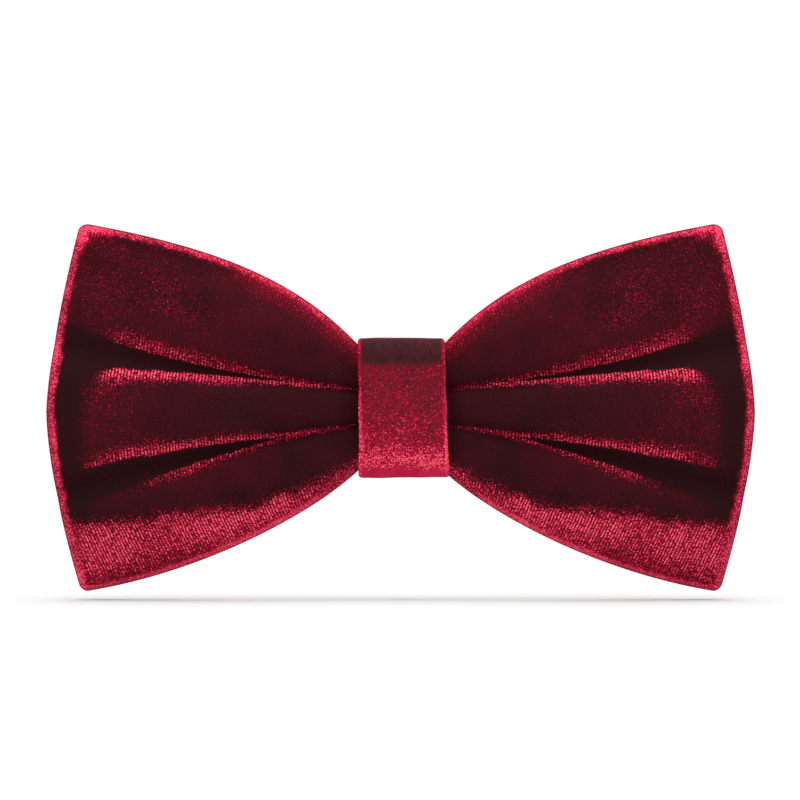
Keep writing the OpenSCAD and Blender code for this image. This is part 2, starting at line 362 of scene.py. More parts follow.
def pile_locks(s, cloth, spark):
    """The pile of the knot lies in short wavy locks, which add to its colour or take from it."""
    inputs = {"Vector": s.scaled(cloth, LOCKS_A_MM), "Scale": 1.0, "Detail": 1.0, "Distortion": 0.8}
    waves = s.node("TexNoise", inputs).outputs[0]
    curl = s.math("ABSOLUTE", s.minus(waves, 0.5))
    curl = s.minus(s.ramp(curl, 0.10, 0.0), 0.45)
    curl = s.times(curl, s.ramp(spark, 0.06, 0.34))
    return s.times(curl, 0.29)


def velvet(name, pile, locks):
    """Crimson velvet with its light and shade painted into its colour: glow says how light its ground
    is painted, and spark how many tufts get a painted highlight.
    """
    s = Shader(
        name, Roughness=0.85, Specular_IOR_Level=0.03,
        Sheen_Weight=0.07, Sheen_Roughness=0.4, Sheen_Tint=(1.0, 0.10, 0.24, 1),
    )
    cloth = s.attribute("cloth").outputs["Vector"]
    glow, spark, ribbed = (s.attribute(key).outputs["Fac"] for key in ("glow", "spark", "ribbed"))
    crest, bead_highlights = rib_beads(s, cloth, spark)
    tufts, tuft_highlights = single_tufts(s, cloth, spark)

    # Painted highlights on single tufts show less where there are ribs, and those of the beads don't
    # show where there are none.
    tuft_highlights = s.times(tuft_highlights, s.line(ribbed, -0.30, 1.0))
    lights = s.plus(s.times(bead_highlights, ribbed), tuft_highlights)
    lights = s.times(lights, s.line(spark, 0.46, 0.26))

    # Painted shade in the valleys between ribs, deeper where the cloth is painted lighter.
    valley_shade = s.times(s.minus(1.0, crest), ribbed)
    valley_shade = s.times(valley_shade, s.line(glow, 0.90, 0.02))
    ridge = s.minus(1.0, valley_shade)
    mottle = s.ramp(s.noise(cloth, 0.16, 3.0), 0.25, 0.75)
    ground = s.times(glow, s.line(mottle, 0.16, 0.84))
    ground = s.times(ground, ridge)

    fibre = s.noise(s.scaled(cloth, (1.0, 0.6, 1.0)), 5.0, 3.0)
    grain = s.minus(fibre, 0.5)
    grain = s.times(grain, s.line(spark, 0.26, 0.24))
    body = s.plus(s.plus(ground, grain), lights)
    if locks:
        body = s.plus(body, pile_locks(s, cloth, spark))
    s.colour(s.colours(body, pile))

    height = s.plus(s.times(ridge, 0.8), s.times(tufts, 0.5))
    height = s.plus(height, fibre)
    s.bump(height, 0.00006)
    return s.material


def woven(name, dark, light, pitch, roughness):
    """A plain weave: threads over and under each other, pitch millimetres apart."""
    s = Shader(name, Roughness=roughness, Specular_IOR_Level=0.2, Sheen_Weight=0.06)
    cloth = s.attribute("cloth").outputs["Vector"]
    parts = s.node("SeparateXYZ", {0: cloth})
    turn = 2 * math.pi / pitch
    warp = s.math("SINE", s.times(parts.outputs[0], turn))
    weft = s.math("SINE", s.times(parts.outputs[1], turn))
    over = s.line(s.times(warp, weft), 0.5, 0.5)
    fuzz = s.noise(cloth, 4.0, 4.0)
    value = s.plus(s.times(over, 0.6), s.times(fuzz, 0.4))
    s.colour(s.colours(value, [(0.2, dark), (0.8, light)]))
    s.bump(value, 0.00008)
    return s.material


def thread(name, dark, light):
    """Twisted sewing thread, its strands as bands across it."""
    s = Shader(name, Roughness=0.55, Specular_IOR_Level=0.15, Sheen_Weight=0.05)
    place = s.node("TexCoord").outputs["Object"]
    inputs = {"Vector": place, "Scale": STRANDS_A_METRE, "Distortion": 1.5}
    strands = s.node("TexWave", inputs, bands_direction="DIAGONAL").outputs[1]
    s.colour(s.colours(strands, [(0.2, dark), (0.9, light)]))
    s.bump(strands, 0.00004)
    return s.material


def metal(name, light, dark, roughness):
    """Plated or drawn metal with fine scratches, faint smears and a slightly uneven polish."""
    s = Shader(name, Metallic=1.0)
    place = s.node("TexCoord").outputs["Object"]
    scratch = s.noise(s.scaled(place, SCRATCHES_A_METRE), 1.0, 4.0)
    smear = s.noise(place, SMEARS_A_METRE, 4.0)
    s.colour(s.colours(smear, [(0.3, dark), (0.7, light)]))
    smeared = s.line(smear, 0.22, roughness - 0.08)
    s.roughness(s.line(scratch, 0.10, smeared))
    s.bump(scratch, 0.000006, 0.6)
    return s.material


VELVET = velvet("velvet_ribbed", PILE, locks=False)
KNOT_VELVET = velvet("velvet_knot", KNOT_PILE, locks=True)
RIBBON = woven("ribbon_grosgrain", (0.006, 0.005, 0.006), (0.030, 0.027, 0.029), 0.5, 0.55)
INTERLINING = woven("interlining_weave", (0.55, 0.52, 0.46), (0.80, 0.78, 0.72), 0.8, 0.9)
RED_THREAD = thread("thread_dark_red", (0.050, 0.002, 0.008), (0.22, 0.010, 0.030))
NICKEL = metal("nickel_plate", (0.47, 0.46, 0.44), (0.42, 0.41, 0.40), 0.24)
SPRING_WIRE = metal("spring_wire", (0.34, 0.34, 0.35), (0.22, 0.22, 0.23), 0.34)


def finish_piece(piece, material, body="bow"):
    """Gives a piece its material, and the body that it moves with."""
    piece.data.materials.clear()
    piece.data.materials.append(material)
    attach(piece, body)
    return piece


# ---------------- the sheet of the bow

# The end of a wing bulges past its corners by END_BULGE, and most a little below the middle
END_BULGE = 5.7
APEX = 0.03
SHEET_H = HALF_H + 0.35
# Where a wing goes in under the knot, and half its height there
KNOT_SIDE = KNOT_X - 0.5
KNOT_SIDE_H = 10.5
# The waist is bound from the middle to BOUND_X, where it is BOUND_H tall either way
BOUND_X = 2.5
BOUND_H = 9.2
# A corner's radius as shares of a row and of the height. Points spread out towards a row's end
CORNER_R = 1.4
CORNER_U = CORNER_R / 70
CORNER_V = CORNER_R / SHEET_H
# Where the wing's edges are pulled to, as shares of the wing's length and of its height
UPPER_PULL = np.array([[0.190, 0.635], [0.43, 0.85]])
LOWER_PULL = np.array([[0.155, 0.560], [0.56, 0.90]])
CENTRE_PULL = (0.13, 0.51)
# About how long a row is, from the knot's side to the wing's end
WING_LENGTH = 52.9
# Rows run from the bottom edge (-1) to the top edge (1), and the pleats lie on two of them
PLEAT_ROW = 1 / 3
MARKED_ROWS = [-1, -PLEAT_ROW, PLEAT_ROW, 1]


# A pleat's bottom line: its height at PLEAT_START, its slope and its curve away from the knot
PLEAT_START = 8
UPPER_LINE = (3.2, 0.100, 0.0010)
LOWER_LINE = (-3.1, -0.130, -0.0021)


def pleat_line(x, height, slope, curve):
    out = x - PLEAT_START
    return height + slope * out + curve * out**2


def upper_pleat(x):
    """Height of the upper pleat's bottom at x."""
    return pleat_line(x, *UPPER_LINE)


def lower_pleat(x):
    """Height of the lower pleat's bottom at x."""
    return pleat_line(x, *LOWER_LINE)


def rounded(u, v):
    """Rounds the corner of the (u, v) square, where both come near 1."""
    p = np.clip((u - (1 - CORNER_U)) / CORNER_U, 0, 1)
    q = np.clip((np.abs(v) - (1 - CORNER_V)) / CORNER_V, 0, 1)
    inside = (p > 0) & (q > 0)
    round_u = 1 - CORNER_U + CORNER_U * p * np.sqrt(1 - q * q / 2)
    round_v = 1 - CORNER_V + CORNER_V * q * np.sqrt(1 - p * p / 2)
    return np.where(inside, round_u, u), np.where(inside, np.sign(v) * round_v, v)


def wing_height(u, pull):
    """Half the wing's height at u, from the knot's side (0) to the end (1)."""
    return bezier(KNOT_SIDE_H, pull[0, 1] * SHEET_H, pull[1, 1] * SHEET_H, SHEET_H, u)


def wing_row(s, samples=500):
    """A line from the knot's side to the wing's end, at row s from -1 (bottom) to 1 (top)."""
    u = np.linspace(0, 1, samples)
    pull = UPPER_PULL if s > 0 else LOWER_PULL
    height = wing_height(u, pull)
    centre = KNOT_SIDE + (HALF_W - KNOT_SIDE) * bezier(0, *CENTRE_PULL, 1, u)
    levels = np.stack([-height, lower_pleat(centre), upper_pleat(centre), height])
    k = min(int(np.searchsorted(MARKED_ROWS, s, side="right")) - 1, 2)
    between = (s - MARKED_ROWS[k]) / (MARKED_ROWS[k + 1] - MARKED_ROWS[k])
    u, v = rounded(u, mix(levels[k], levels[k + 1], between) / height)
    first, second = mix(LOWER_PULL[:, 0, None], UPPER_PULL[:, 0, None], (1 + v) / 2)
    end_x = HALF_W - END_BULGE * np.abs(v + APEX * (1 - v * v)) ** 1.5
    x = KNOT_SIDE + (end_x - KNOT_SIDE) * bezier(0, first, second, 1, u)
    return x, v * wing_height(u, pull)


def waist_height(x):
    """Half the height of the waist at x, inside the knot."""
    return mix(BOUND_H, KNOT_SIDE_H, ease(BOUND_X, KNOT_SIDE, x))


def waist_row(s, x):
    """The same row inside the knot, at places x from 0 to the knot's side."""
    levels = [-KNOT_SIDE_H, lower_pleat(KNOT_SIDE), upper_pleat(KNOT_SIDE), KNOT_SIDE_H]
    return np.interp(s, MARKED_ROWS, levels) * waist_height(x) / KNOT_SIDE_H


def rows(count_outer, count_middle, crowd=0.78):
    """Places of the rows, crowded together at the rims and at the pleats."""

    def span(a, b, count):
        p = np.arange(count) / count
        return mix(a, b, p - crowd * np.sin(2 * np.pi * p) / (2 * np.pi))

    counts = (count_outer, count_middle, count_outer)
    spans = [span(*ends) for ends in zip(MARKED_ROWS, MARKED_ROWS[1:], counts)]
    return np.concatenate([*spans, [1.0]])


def columns(ribs, a_rib):
    """Places along a row from the knot's side (0) to the end (1), finer over the rim's roll."""
    step = 1 / (ribs * a_rib)
    even = np.arange(0, 1 - 2.6 * a_rib * step, step)
    roll = np.linspace(0, np.pi / 2, 12)
    rim = 1 - (1 - even[-1] - step) * (1 - np.cos(roll))[::-1]
    return np.concatenate([even, rim])


def half_sheet(t, s):
    """X and Z of the right wing's grid, (columns, rows), and how far each point is from the end."""
    x, z, run = (np.empty((len(t), len(s))) for _ in range(3))
    for j, row in enumerate(s):
        line = np.stack(wing_row(row), 1)
        length = lengths_along(line)
        x[:, j] = np.interp(t * length[-1], length, line[:, 0])
        z[:, j] = np.interp(t * length[-1], length, line[:, 1])
        run[:, j] = (1 - t) * WING_LENGTH
    return x, z, run


def half_bow(t, s, waist_steps):
    """The same for the right half of the bow: the waist inside the knot, and then the wing."""
    x, z, run = half_sheet(t, s)
    waist = np.linspace(0, KNOT_SIDE, waist_steps)[:-1]
    waist_x = np.repeat(waist[:, None], len(s), 1)
    waist_z = np.stack([waist_row(row, waist) for row in s], 1)
    waist_run = WING_LENGTH + KNOT_SIDE - waist_x
    return np.vstack([waist_x, x]), np.vstack([waist_z, z]), np.vstack([waist_run, run])


# Turns a point of the right half into one of the left
MIRROR = [-1, 1, 1]


def both_halves(value, mirror=1):
    """The left half's values, multiplied by mirror, and then the right half's."""
    return np.concatenate([value[:0:-1] * mirror, value])


SIDE_LINES = [np.stack(wing_row(s, 160), 1) for s in (-1.0, 1.0)]
END_LINE = np.array([[a[-1] for a in wing_row(s)] for s in np.linspace(-1, 1, 161)])


def pleat_dip(z, level, outer, inner):
    """1 at the bottom of a pleat and less away from it: outer and inner are its half widths."""
    gap = z - level
    t = np.abs(gap) / np.where(gap * np.sign(level) > 0, outer, inner)
    return np.exp(-(t**1.5))


# Depth and half width of the pleats, beside the knot and further out
PLEAT_DEPTH = (1.2, 2.6)
PLEAT_HALF_W = (0.75, 1.5)
# How much of the depth is left at the wing's end, and how deep the pleats are in the knot
END_DEPTH = 0.62
KNOT_DEPTH = 1.9
# How much wider the pleats are at the wing's end on their outer sides, and how wide within
FLARE = 2.2
UPPER_MOUTH = 2.6
LOWER_MOUTH = 2.4
# How steeply the outer lobes roll back, and how softly that begins
LOWER_FALL = 0.34
UPPER_FALL = (0.36, 0.16)
FALL_BEND = 0.9
# How far the middle lobe crowns, the wings puff out beside the knot and their ends sweep back
CROWN = (0.5, 1.3)
PUFF = 1.5
PUFF_X = 22
PUFF_SPAN = 13
SWEEP_SPAN = 52
# How far the sheet lies before the middle plane
FORWARD = 0.9


def relief(x, z):
    """How far back the sheet lies at (x, z), with its pleats, lobes and slack."""
    x = np.abs(x)
    out = np.maximum(x, KNOT_SIDE)
    inside = ease(KNOT_SIDE + 4, KNOT_SIDE, x)
    upper, lower = upper_pleat(out), lower_pleat(out)

    depth = mix(*PLEAT_DEPTH, ease(9, 26, out)) * mix(1, END_DEPTH, ease(28, 50, out))
    depth = mix(depth, KNOT_DEPTH, inside)
    narrow = mix(*PLEAT_HALF_W, ease(8, 24, out))
    wide = narrow + FLARE * ease(24, 56, out)
    mouth = ease(40, 56, out)
    back = depth * pleat_dip(z, upper, wide, mix(narrow, UPPER_MOUTH, mouth))
    back = back + depth * pleat_dip(z, lower, wide, mix(narrow, LOWER_MOUTH, mouth))

    # The outer lobes roll back towards the edges, the lower one further.
    lower_break = 11 + 0.14 * (out - PLEAT_START)
    upper_break = 8.5 + 0.45 * (out - PLEAT_START)
    free = ease(7, 16, out)
    back = back + LOWER_FALL * free * over_zero(-z - lower_break, FALL_BEND)
    fall = mix(*UPPER_FALL, ease(18, 44, out)) * free
    back = back + fall * over_zero(z - upper_break, FALL_BEND)

    crown = mix(*CROWN, ease(10, 30, out)) * (1 - inside)
    middle = (z - (upper + lower) / 2) / (upper - lower)
    back = back - crown * np.clip(1 - 4 * middle**2, 0, 1)
    puff = PUFF * np.exp(-(((out - PUFF_X) / PUFF_SPAN) ** 2)) * (1 - inside)
    sweep = ((out - KNOT_SIDE) / SWEEP_SPAN) ** 2
    slack = 0.22 * noise(x + 40, z + 40, 11.0, 3) + 0.10 * noise(x + 9, z + 70, 4.5, 5)
    return MID_Y - FORWARD * mix(1, 1.15, inside) + back - puff + sweep + slack * (1 - inside)


# A panel stands off the middle plane by FRONT_T, and rolls down to it round its rim
FRONT_T = 1.7
CLOTH_T = 0.8
END_ROLL = 2.0
SIDE_ROLL = 1.5
# The share of the rim that is turned cloth, with nothing between its layers
FLANGE = 0.4
# How far the back of the waist fills the knot, behind the middle plane
WAIST_BACK = 3.45
# The ribs lean further below FAN_TOP, by FAN across for each unit down
FAN = 0.21
FAN_TOP = -15.0
FAN_BEND = 1.5
# Steps in the cloth coordinates, so that no wing or panel repeats another's pattern
LEFT_STEP = 300
BACK_STEP = 700
UP_STEP = 50


def rim_share(x, z):
    """0 on the outline and 1 where the rolled rim meets the flat, and distances to both edges."""
    x = np.abs(x)
    side = np.minimum(*(distance_to(line, x, z) for line in SIDE_LINES))
    end = distance_to(END_LINE, x, z)
    waist = waist_height(x) - np.abs(z)
    side = np.where(x < KNOT_SIDE, np.maximum(waist, 0), side)
    return np.minimum(side / SIDE_ROLL, end / END_ROLL), side, end


def roll(share):
    """The rise of a rolled rim: a quarter of an ellipse from 0 on the outline to 1 at share 1."""
    return np.sqrt(np.clip(1 - (1 - np.clip(share, 0, 1)) ** 2, 0, 1))


def panel_grid(t, s, facing):
    """A panel's outer and inner faces over the whole bow, cloth coordinates and rim distances."""
    x, z, run = half_bow(t, s, 10)
    share, side, end = rim_share(x, z)
    middle = relief(x, z)
    puffed = 0.16 * np.exp(-(((share - 0.85) / 0.45) ** 2))
    thick = FRONT_T
    if facing > 0:
        thick = mix(FRONT_T, MID_Y + WAIST_BACK - middle, ease(KNOT_X, KNOT_X - 2.5, x))
    y = middle + facing * thick * (roll(share) + puffed * ease(0, 0.5, share))
    inner_rise = roll((share - FLANGE) / (1 - FLANGE))
    inner_y = middle + facing * np.maximum(0.02, (FRONT_T - CLOTH_T) * inner_rise)
    outer = both_halves(np.stack([x, y, z], -1), MIRROR)
    inner = both_halves(np.stack([x, inner_y, z], -1), MIRROR)

    # The ribs fan out towards the lower corners, and cloth coordinates run on over the rims.
    run = run - FAN * over_zero(FAN_TOP - z, FAN_BEND) - FRONT_T * (1 - roll(end / END_ROLL))
    run = np.concatenate([run[:0:-1] + LEFT_STEP, run]) + BACK_STEP * (facing > 0)
    rise = both_halves(z + np.sign(z) * FRONT_T * (1 - roll(side / SIDE_ROLL))) + UP_STEP
    cloth = np.stack([run, rise, np.zeros_like(run)], -1)
    return outer, inner, cloth, both_halves(side), both_halves(end)


# The painted shade in a pleat's gap: where it opens, and the slope and curve of its edges
UPPER_GAP = (24, 0.025, 0.0022)
LOWER_GAP = (22, 0.083, 0.0)
# Each lip's painted highlight: its width at the knot and its growth, its peak, and from where to
# where it fades
UPPER_LIPS = ((0.4, 0.150, 0.90, 44, 57), (0.3, 0.115, 1.15, 52, 59))
LOWER_LIPS = ((0.4, 0.115, 1.05, 46, 61), (0.4, 0.095, 0.92, 36, 53))
# Painted light of the lips as a share of their painted glints, and (painted light, painted glints) of
# the rest of the front
LIP_GLOW = 0.20
HEM = (0.465, 0.95)
SHOULDER = (0.42, 0.56)
GROUND = (0.178, 0.12)


def pleat_gap(x, start, slope, curve):
    """Half the width of the painted shade in a pleat's gap, which opens from start towards the end.
    """
    out = np.maximum(x - start, 0)
    return 0.08 + slope * out + curve * out**2


def from_gaps(x, z):
    """Heights above the upper pleat and below the lower one, and half of each pleat's gap."""
    gap_up, gap_low = pleat_gap(x, *UPPER_GAP), pleat_gap(x, *LOWER_GAP)
    return z - upper_pleat(x), lower_pleat(x) - z, gap_up, gap_low


def edge_height(x, side):
    """Height at x of the wing's bottom edge (side 0) or top edge (side 1)."""
    return np.interp(x, SIDE_LINES[side][:, 0], SIDE_LINES[side][:, 1])


def layered(*layers):
    """The lighter of several (painted light, painted glints) layers at each point."""
    return [np.maximum.reduce(np.broadcast_arrays(*values)) for values in zip(*layers)]


def end_shade(x, z, ragged):
    """0 in the painted shade that lies along the wing's end, above the hem, and 1 elsewhere."""
    up, _, gap_up, _ = from_gaps(x, z)
    to_end = HALF_W - 0.0062 * z**2 - x
    to_end = to_end + 0.8 * ragged - 4.9 * np.exp(-np.abs(up + gap_up) / 2.0)
    return 1 - ease(7.8, 3.4, to_end) * ease(16.5, 10, z) * ease(-22, -16.5, z)


def pleat_lips(x, z, ragged):
    """Painted light on the lips above and below each pleat."""
    out = x - KNOT_X
    up, low, gap_up, gap_low = from_gaps(x, z)
    # Near the knot the lips press together, and no painted shade of a gap shows between them.
    shut = 0.30 * ease(24, 17, x)

    def lip(distance, first, growth, peak, fade_from, fade_to):
        """A band of painted light that is brightest at its pleat and fades out over its width."""
        width = first + growth * out + ragged * ease(0, 12, out)
        lit = ease(0.0, 0.25, distance + shut)
        lit = lit * (1 - ease(0.15, 1.0, distance / np.maximum(width, 0.2)))
        return peak * lit * ease(fade_to, fade_from, x + 3 * ragged) * mix(0.75, 1, ease(2, 15, out))

    return np.maximum.reduce([
        lip(up - gap_up, *UPPER_LIPS[0]),
        lip(-up - gap_up, *UPPER_LIPS[1]) * end_shade(x, z, ragged),
        lip(-low - gap_low, *LOWER_LIPS[0]),
        lip(low - gap_low, *LOWER_LIPS[1]),
    ])


def hem_painted_light(x, z, ragged):
    """Painted light and glints of the lower hem, a wide band that is ragged along its top."""
    hem_top = -17.6 + 10.3 * np.exp((KNOT_X - x) / 13) - 1.3 * ease(38, 52, x) + 1.2 * ragged
    below = hem_top - z
    patches = mix(1.12, 0.93, ease(12, 46, x)) + 0.10 * noise(x, z, 7.0, 23)
    patches = patches - 0.22 * ease(5.0, 1.5, z - edge_height(x, 0))
    return HEM[0] * ease(0.2, 3.6, below) * patches, HEM[1] * ease(-1.2, 2.4, below) * patches


def ground_painted_light(x, z, ragged):
    """Painted light and glints of the rest, with painted shade darkest in the pleats' gaps and along
    the wing's end.
    """
    up, low, gap_up, gap_low = from_gaps(x, z)
    middle = ease(0.6, -0.6, up) * ease(0.6, -0.6, low)
    glow = GROUND[0] + 0.035 * noise(x, z, 9.0, 24) + 0.030 * noise(x, z, 3.0, 25)
    glow = glow - 0.055 * middle * ease(54, 38, x) - 0.045 * ease(0, 1, low)
    glow = glow - 0.04 * ease(26, 12, x) * ease(8, 5, np.abs(z))
    spark = GROUND[1] + 0.10 * noise(x, z, 5.0, 26)
    spark = spark + 0.30 * ease(3, 9, up) * ease(20, 42, x)
    spark = spark + 0.10 * ease(18, 34, x) * middle
    spark = spark + 0.34 * ease(38, 50, x) * ease(-6, 3, z) * ease(0.3, 1.5, -up - gap_up)
    # Painted shade in the pleats' gaps and along the wing's end
    gaps = np.maximum(ease(1.1, -0.3, np.abs(up) - gap_up), ease(1.1, -0.3, np.abs(low) - gap_low))
    unshaded = (1 - gaps * ease(18, 24, x)) * mix(0.15, 1, end_shade(x, z, ragged))
    return glow * unshaded, spark * unshaded


def front_painted_light(x, z):
    """Painted light and glints of the front: of its ground, lips, lower hem and shoulders."""
    x = np.abs(x)
    ragged = 0.35 * noise(x * 3, z * 3, 1.0, 21) + 0.5 * noise(x, z, 4.0, 22)
    lips = pleat_lips(x, z, ragged)
    shoulder = ease(8.5, 0.0, edge_height(x, 1) - z) * ease(37, 23, x)
    return layered(
        ground_painted_light(x, z, ragged),
        (LIP_GLOW * lips, lips),
        hem_painted_light(x, z, ragged),
        (SHOULDER[0] * shoulder, SHOULDER[1] * shoulder),
    )


def back_painted_light(n):
    """Painted light and glints of the back, lighter by the way n that its surface faces."""
    down = ease(0.10, 0.46, -n[..., 2])
    up = ease(0.34, 0.80, n[..., 2])
    return 0.12 + 0.26 * down + 0.14 * up, 0.14 + 0.40 * down + 0.20 * up


# Where across the bow the painted light of its corners is centred
CORNER_X = 53


def rim_painted_light(x, z, side, end):
    """Painted light and glints of the rolled rims. The pile is painted dark again right at the
    outline, as painted shade.
    """
    rough = 0.30 * noise(x * 3, z * 3, 1.0, 11) + 0.25 * noise(x, z, 1.1, 12)
    corner = ease(6, 2, np.hypot(np.abs(x) - CORNER_X, np.abs(z) - HALF_H))
    away = np.abs(x)
    spread = 2.6 * corner * (z > 0)
    end_rim = ease(2.1 + spread, 1.0, end + rough)
    top = ease(1.8 + spread, 0.5, side + rough) * ease(6, 14, away) * (z > 0)
    bottom = ease(1.3, 0.7, side + 0.3 * rough) * ease(8, 16, away) * (z < 0)
    # Painted shade along the outline itself
    edge = mix(0.40, 1, ease(0.04, 0.32, np.minimum(side, end)))
    patches = 1 + 0.22 * noise(x, z, 1.5, 13)
    glow, spark = layered(
        (end_rim * (0.55 + 0.12 * corner) * patches, 0.82 * end_rim),
        (top * (0.50 + 0.16 * corner) * patches, 0.80 * top),
        (bottom * 0.78, 0.20 * bottom),
    )
    return glow * edge, spark * edge


def rib_cover(end, side):
    """1 on the face and 0 on the rim, whose pile stands too thick to show the ribs."""
    return ease(1.2, 2.4, np.minimum(end, side + 0.7))


RIB_HEIGHT = 0.03
PILE_HEIGHT = 0.03
# Painted shade of the inner face of the velvet: how light it is, next to its outer face
INNER_SHADE = 0.3


def velvet_panel(name, facing, t, s, rib_height):
    """One side of the bow, a closed skin whose outer face carries the ribs, pile and painted light.
    """
    grid, inner, cloth, side, end = panel_grid(t, s, facing)
    n = normals(grid) * (-facing)
    x, z = grid[..., 0], grid[..., 2]
    face = front_painted_light(x, z) if facing < 0 else back_painted_light(n)
    glow, spark = layered(face, rim_painted_light(x, z, side, end))
    ribbed = rib_cover(end, side)
    pile = PILE_HEIGHT * noise(cloth[..., 0] * 2, cloth[..., 1] * 2, 0.5, 7)
    ribs = rib_height * np.cos(2 * np.pi * cloth[..., 0] / RIB_PITCH) * ribbed
    grid = grid + n * ((ribs + pile) * ease(0.02, 0.3, np.minimum(side, end)))[..., None]

    def ring(outer_values, inner_values):
        return np.concatenate([outer_values, inner_values[:, ::-1]], 1)

    piece = mesh(
        name, ring(grid, inner), loop=(False, True), caps=True, flip=facing > 0,
        cloth=ring(cloth, cloth), glow=ring(glow, glow * INNER_SHADE),
        spark=ring(spark, spark * INNER_SHADE), ribbed=ring(ribbed, ribbed),
    )
    return finish_piece(piece, VELVET)


# Columns to a rib and rows to a lobe: the front needs enough of them to carry its ribs
RIBS = round(WING_LENGTH / RIB_PITCH)
FRONT_GRID = ((columns(RIBS, 4), rows(46, 34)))
BACK_GRID = (columns(RIBS, 2), rows(30, 22))
front = velvet_panel("bow_front_velvet", -1, *FRONT_GRID, RIB_HEIGHT)
back = velvet_panel("bow_back_velvet", 1, *BACK_GRID, 0.0)
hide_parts("front_panel")
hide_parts("back_panel")


def flat_cloth(grid):
    """Cloth coordinates for a grid: how far each point is along its two ways."""
    along = np.linalg.norm(np.diff(grid, axis=0, prepend=grid[:1]), axis=2).cumsum(0)
    across = np.linalg.norm(np.diff(grid, axis=1, prepend=grid[:, :1]), axis=2).cumsum(1)
    return np.stack([across, along, np.zeros_like(along)], -1)


# ---------------- inside the wings

# How far the interlining stops short of the wing's end, and the rows that it stops at
INSET = 1.7
INSET_ROW = 0.93
INTERLINING_T = 0.7


def make_interlining():
    """The stiffening between the panels, cut a little smaller than the wings."""
    t = np.linspace(0, 1 - INSET / WING_LENGTH, 60)
    x, z, _ = half_bow(t, np.linspace(-INSET_ROW, INSET_ROW, 40), 6)
    grid = both_halves(np.stack([x, relief(x, z), z], -1), MIRROR)
    piece = mesh("bow_interlining", grid, cloth=flat_cloth(grid))
    modifier(piece, "SOLIDIFY", thickness=INTERLINING_T * MM, offset=0.0)
    finish_piece(piece, INTERLINING)
    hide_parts("interlining")


def stitch(a, b, radius, sag=0.0):
    """A short length of thread from a to b, whose ends dive into the cloth along Y by sag."""
    t = np.linspace(0, 1, 7)[:, None]
    points = mix(np.asarray(a, float), np.asarray(b, float), t)
    points[:, 1] -= sag * (2 * t[:, 0] - 1) ** 4
    return cord("stitch", points, radius, 6)


THREAD_R = 0.15
# The seam: how far it is from the wing's end, the rows that it follows, and its stitches
SEAM_INSET = 0.75
SEAM_ROW = 0.985
SEAM_STITCH = 2.4
SEAM_START = 0.4


def make_rim_seam():
    """The thread that joins the panels, all the way round inside their turned rim."""
    end_t = 1 - SEAM_INSET / WING_LENGTH
    t = np.linspace(0.01, end_t, 60)
    bottom = half_sheet(t, np.array([-SEAM_ROW]))
    end = half_sheet(np.array([end_t]), np.linspace(-SEAM_ROW, SEAM_ROW, 60))
    top = half_sheet(t[::-1], np.array([SEAM_ROW]))
    x, z = (np.concatenate([bottom[k][:, 0], end[k][0], top[k][:, 0]]) for k in (0, 1))
    run = lengths_along(np.stack([x, z], 1))
    parts = []
    for start in np.arange(SEAM_START, run[-1] - SEAM_STITCH, SEAM_STITCH):
        place = [start, start + 0.8 * SEAM_STITCH]
        px, pz = np.interp(place, run, x), np.interp(place, run, z)
        for side in (-1, 1):
            ends = np.stack([side * px, relief(px, pz), pz], 1)
            parts.append(stitch(ends[0], ends[1], THREAD_R))
    piece = finish_piece(join("rim_seam_thread", parts), RED_THREAD)
    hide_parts("edge_seam")


BINDING_TURNS = 8
BINDING_PITCH = 0.5
BINDING_DEPTH = 3.5
BINDING_H = BOUND_H + 0.35


def squared(wave):
    """A wave that dwells near -1 and 1, which makes a rounded square of a circle."""
    return np.sign(wave) * np.abs(wave) ** 0.62


def make_binding():
    """Thread wound round the waist, which holds the pleats under the knot."""
    steps = 48
    turn = np.arange(BINDING_TURNS * steps + 1) / steps
    a = 2 * np.pi * turn
    x = (turn - BINDING_TURNS / 2) * BINDING_PITCH + 0.06 * noise(turn * 3, a, 1.0, 31)
    y = MID_Y - 0.1 + BINDING_DEPTH * squared(np.sin(a))
    z = BINDING_H * squared(np.cos(a))
    piece = cord("waist_binding_thread", np.stack([x, y, z], 1), THREAD_R + 0.02, 8)
    finish_piece(piece, RED_THREAD)
    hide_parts("waist_thread")


make_interlining()
make_rim_seam()
make_binding()

# ---------------- the knot

BAND_T = 1.1
LINING_T = 0.4
LINING_HALF_W = 6.0
# Where the bands' ends meet behind, and the gap between them
JOIN_Z = -6.6
JOIN_GAP = 0.3


def round_loop(half_y, half_z, radius, step):
    """A rounded rectangle in (Y, Z), from JOIN_Z at the back and down, with its ends apart.

    Returns its points, the way outwards at each and how far round each is.
    """
    parts = []
    for centre_y, centre_z, first in ((1, -1, 0), (-1, -1, -90), (-1, 1, -180), (1, 1, -270)):
        a = np.radians(first - np.linspace(0, 90, 16))
        centre = [centre_y * (half_y - radius), centre_z * (half_z - radius)]
        parts.append(np.array(centre) + radius * np.stack([np.cos(a), np.sin(a)], 1))
    start, stop = JOIN_Z - JOIN_GAP / 2, JOIN_Z + JOIN_GAP / 2
    line = np.concatenate([[[half_y, start]], *parts, [[half_y, stop]]])
    run = lengths_along(line)
    places = np.linspace(0, run[-1], int(run[-1] / step))
    points = np.stack([np.interp(places, run, line[:, k]) for k in (0, 1)], 1)
    along = np.gradient(points, axis=0)
    along /= np.linalg.norm(along, axis=1, keepdims=True)
    return points, np.stack([-along[:, 1], along[:, 0]], 1), places


